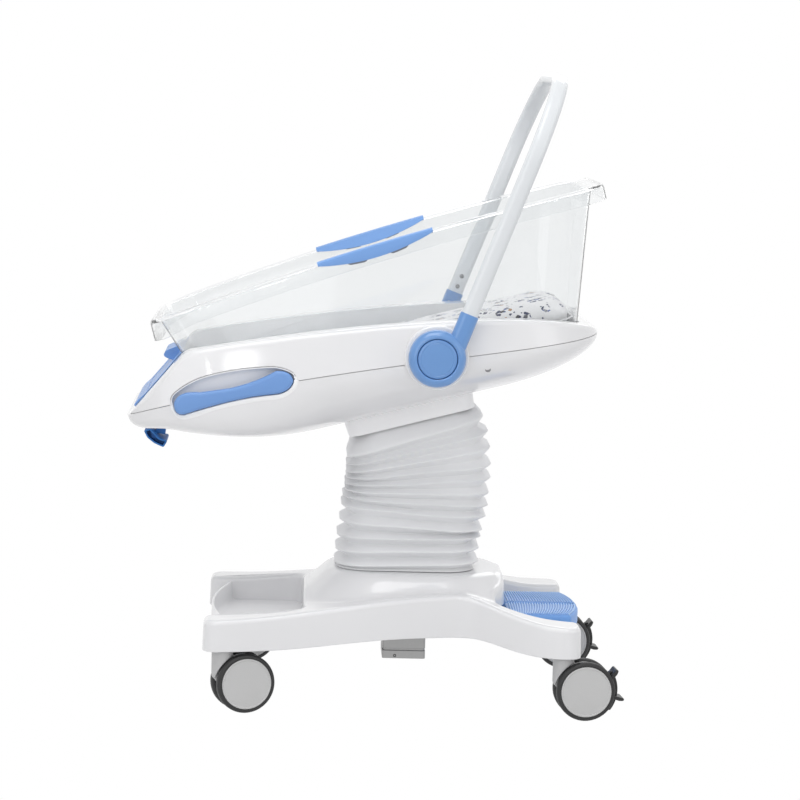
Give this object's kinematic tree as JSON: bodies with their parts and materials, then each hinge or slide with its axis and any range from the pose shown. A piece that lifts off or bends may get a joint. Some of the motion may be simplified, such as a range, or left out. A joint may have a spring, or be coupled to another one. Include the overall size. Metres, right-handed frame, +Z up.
{
  "type": "hospital bassinet",
  "caption": "Wheeled newborn bassinet: clear basin with mattress in a tilting cradle with swing-over arch handle, on a lifting column with bellows, foot pedals and braked casters.",
  "frame": {"origin": "middle of the overall length and width, on the floor under the casters", "axes": "+X towards the head end, +Y towards the left side, +Z up"},
  "size_m": [0.8491, 0.553, 1.0793],
  "materials": {
    "white_shell": "glossy moulded white",
    "white_arch": "glossy white with a cool tint",
    "white_bush": "plain moulded",
    "blue_trim": "satin mid blue",
    "blue_rim_grip": "satin mid blue",
    "blue_lever": "satin deeper blue",
    "blue_pedal": "light blue with fine ribs",
    "steel": "plain grey",
    "clear_basin": "clear moulded plastic",
    "printed_fabric": "white printed cover",
    "bellows_rubber": "soft white",
    "black_plastic": "black",
    "grey_hood": "light grey",
    "grey_wheel": "light grey",
    "black_tyre": "soft black"
  },
  "bodies": {
    "base": {"base_cover": "white_shell", "chassis": "steel", "column_foot": "steel", "column_tube": "steel", "column_bush": "white_bush", "pedal_axle": "steel", "bellows": "bellows_rubber"},
    "raise_pedal": {"raise_pedal": "blue_pedal"},
    "lower_pedal": {"lower_pedal": "blue_pedal"},
    "caster_foot_right": {"caster_hood_foot_right": "grey_hood", "caster_axle_foot_right": "steel"},
    "wheel_outer_foot_right": {"wheel_outer_foot_right": "grey_wheel", "tyre_outer_foot_right": "black_tyre"},
    "wheel_inner_foot_right": {"wheel_inner_foot_right": "grey_wheel", "tyre_inner_foot_right": "black_tyre"},
    "caster_foot_left": {"caster_hood_foot_left": "grey_hood", "caster_axle_foot_left": "steel"},
    "wheel_outer_foot_left": {"wheel_outer_foot_left": "grey_wheel", "tyre_outer_foot_left": "black_tyre"},
    "wheel_inner_foot_left": {"wheel_inner_foot_left": "grey_wheel", "tyre_inner_foot_left": "black_tyre"},
    "caster_head_right": {"caster_hood_head_right": "grey_hood", "caster_axle_head_right": "steel"},
    "wheel_outer_head_right": {"wheel_outer_head_right": "grey_wheel", "tyre_outer_head_right": "black_tyre"},
    "wheel_inner_head_right": {"wheel_inner_head_right": "grey_wheel", "tyre_inner_head_right": "black_tyre"},
    "brake_head_right": {"brake_lever_head_right": "black_plastic"},
    "caster_head_left": {"caster_hood_head_left": "grey_hood", "caster_axle_head_left": "steel"},
    "wheel_outer_head_left": {"wheel_outer_head_left": "grey_wheel", "tyre_outer_head_left": "black_tyre"},
    "wheel_inner_head_left": {"wheel_inner_head_left": "grey_wheel", "tyre_inner_head_left": "black_tyre"},
    "brake_head_left": {"brake_lever_head_left": "black_plastic"},
    "lift": {"column_ram": "steel", "tilt_yoke": "steel", "tilt_pin": "steel"},
    "cradle": {"upper_shell": "white_shell", "lower_shell": "white_shell", "neck_block": "white_shell", "cradle_frame": "steel", "hub_spindle_left": "steel", "hub_spindle_right": "steel", "side_grip_left": "blue_trim", "side_grip_right": "blue_trim", "front_fascia": "blue_trim", "gas_cylinder": "black_plastic", "release_cable": "black_plastic"},
    "gas_rod": {"gas_rod": "steel"},
    "tilt_lever": {"tilt_lever": "blue_lever"},
    "arch": {"hub_left": "blue_trim", "hub_right": "blue_trim", "arch_tube": "white_arch"},
    "hub_button_left": {"hub_button_left": "blue_trim"},
    "hub_button_right": {"hub_button_right": "blue_trim"},
    "basin": {"basin": "clear_basin", "rim_grip_left": "blue_rim_grip", "rim_grip_right": "blue_rim_grip"},
    "mattress": {"mattress": "printed_fabric"}
  },
  "joints": [
    {"name": "raise_pedal_press", "type": "hinge", "parent": "base", "child": "raise_pedal", "pos_m": [0.186, 0, 0.141], "axis": [0, 1, 0], "range_deg": [0, 10], "stiffness_Nm_per_rad": 6, "springref_deg": -8.59},
    {"name": "lower_pedal_press", "type": "hinge", "parent": "base", "child": "lower_pedal", "pos_m": [0.186, 0, 0.141], "axis": [0, 1, 0], "range_deg": [0, 10], "stiffness_Nm_per_rad": 6, "springref_deg": -8.59},
    {"name": "caster_foot_right_swivel", "type": "hinge", "parent": "base", "child": "caster_foot_right", "pos_m": [-0.253, -0.234, 0.119], "axis": [0, 0, 1], "continuous": true},
    {"name": "wheel_outer_foot_right_spin", "type": "hinge", "parent": "caster_foot_right", "child": "wheel_outer_foot_right", "pos_m": [-0.21857, -0.22348, 0.05], "axis": [-0.2924, 0.9563, 0], "continuous": true},
    {"name": "wheel_inner_foot_right_spin", "type": "hinge", "parent": "caster_foot_right", "child": "wheel_inner_foot_right", "pos_m": [-0.21857, -0.22348, 0.05], "axis": [-0.2924, 0.9563, 0], "continuous": true},
    {"name": "caster_foot_left_swivel", "type": "hinge", "parent": "base", "child": "caster_foot_left", "pos_m": [-0.253, 0.234, 0.119], "axis": [0, 0, 1], "continuous": true},
    {"name": "wheel_outer_foot_left_spin", "type": "hinge", "parent": "caster_foot_left", "child": "wheel_outer_foot_left", "pos_m": [-0.21735, 0.23901, 0.05], "axis": [-0.1392, 0.9903, 0], "continuous": true},
    {"name": "wheel_inner_foot_left_spin", "type": "hinge", "parent": "caster_foot_left", "child": "wheel_inner_foot_left", "pos_m": [-0.21735, 0.23901, 0.05], "axis": [-0.1392, 0.9903, 0], "continuous": true},
    {"name": "caster_head_right_swivel", "type": "hinge", "parent": "base", "child": "caster_head_right", "pos_m": [0.321, -0.234, 0.119], "axis": [0, 0, 1], "continuous": true},
    {"name": "wheel_outer_head_right_spin", "type": "hinge", "parent": "caster_head_right", "child": "wheel_outer_head_right", "pos_m": [0.35686, -0.23086, 0.05], "axis": [-0.0872, 0.9962, 0], "continuous": true},
    {"name": "wheel_inner_head_right_spin", "type": "hinge", "parent": "caster_head_right", "child": "wheel_inner_head_right", "pos_m": [0.35686, -0.23086, 0.05], "axis": [-0.0872, 0.9962, 0], "continuous": true},
    {"name": "brake_head_right_press", "type": "hinge", "parent": "caster_head_right", "child": "brake_head_right", "pos_m": [0.40269, -0.22685, 0.054], "axis": [-0.0872, 0.9962, 0], "range_deg": [0, 8]},
    {"name": "caster_head_left_swivel", "type": "hinge", "parent": "base", "child": "caster_head_left", "pos_m": [0.321, 0.234, 0.119], "axis": [0, 0, 1], "continuous": true},
    {"name": "wheel_outer_head_left_spin", "type": "hinge", "parent": "caster_head_left", "child": "wheel_outer_head_left", "pos_m": [0.35695, 0.23588, 0.05], "axis": [-0.0523, 0.9986, 0], "continuous": true},
    {"name": "wheel_inner_head_left_spin", "type": "hinge", "parent": "caster_head_left", "child": "wheel_inner_head_left", "pos_m": [0.35695, 0.23588, 0.05], "axis": [-0.0523, 0.9986, 0], "continuous": true},
    {"name": "brake_head_left_press", "type": "hinge", "parent": "caster_head_left", "child": "brake_head_left", "pos_m": [0.40289, 0.23829, 0.054], "axis": [-0.0523, 0.9986, 0], "range_deg": [0, 8]},
    {"name": "column_lift", "type": "slide", "parent": "base", "child": "lift", "axis": [0, 0, 1], "range_m": [-0.075, 0.1], "deforming": ["bellows"]},
    {"name": "cradle_tilt", "type": "hinge", "parent": "lift", "child": "cradle", "pos_m": [0.052, 0, 0.51], "axis": [0, -1, 0], "range_deg": [-27, 0], "deforming": ["bellows"]},
    {"name": "gas_rod_slide", "type": "slide", "parent": "cradle", "child": "gas_rod", "axis": [0.9659, 0, 0.2588], "range_m": [-0.0135, 0.0005]},
    {"name": "tilt_lever_squeeze", "type": "hinge", "parent": "cradle", "child": "tilt_lever", "pos_m": [-0.36874, 0, 0.48837], "axis": [0, 1, 0], "range_deg": [0, 14], "stiffness_Nm_per_rad": 1.5, "springref_deg": -5.73},
    {"name": "arch_swing", "type": "hinge", "parent": "cradle", "child": "arch", "pos_m": [0.09247, 0, 0.60625], "axis": [0, 1, 0], "range_deg": [-60, 25]},
    {"name": "hub_button_left_press", "type": "slide", "parent": "arch", "child": "hub_button_left", "axis": [0, -1, 0], "range_m": [0, 0.005], "stiffness_N_per_m": 500, "springref_m": -0.002},
    {"name": "hub_button_right_press", "type": "slide", "parent": "arch", "child": "hub_button_right", "axis": [0, 1, 0], "range_m": [0, 0.005], "stiffness_N_per_m": 500, "springref_m": -0.002},
    {"name": "basin_lift_out", "type": "slide", "parent": "cradle", "child": "basin", "axis": [-0.2588, 0, 0.9659], "range_m": [0, 0.1]},
    {"name": "mattress_lift_out", "type": "slide", "parent": "basin", "child": "mattress", "axis": [-0.2588, 0, 0.9659], "range_m": [0, 0.12]}
  ],
  "couplings": [
    {"joint": "gas_rod_slide", "follows": "cradle_tilt", "m_per_rad": 0.0277}
  ]
}
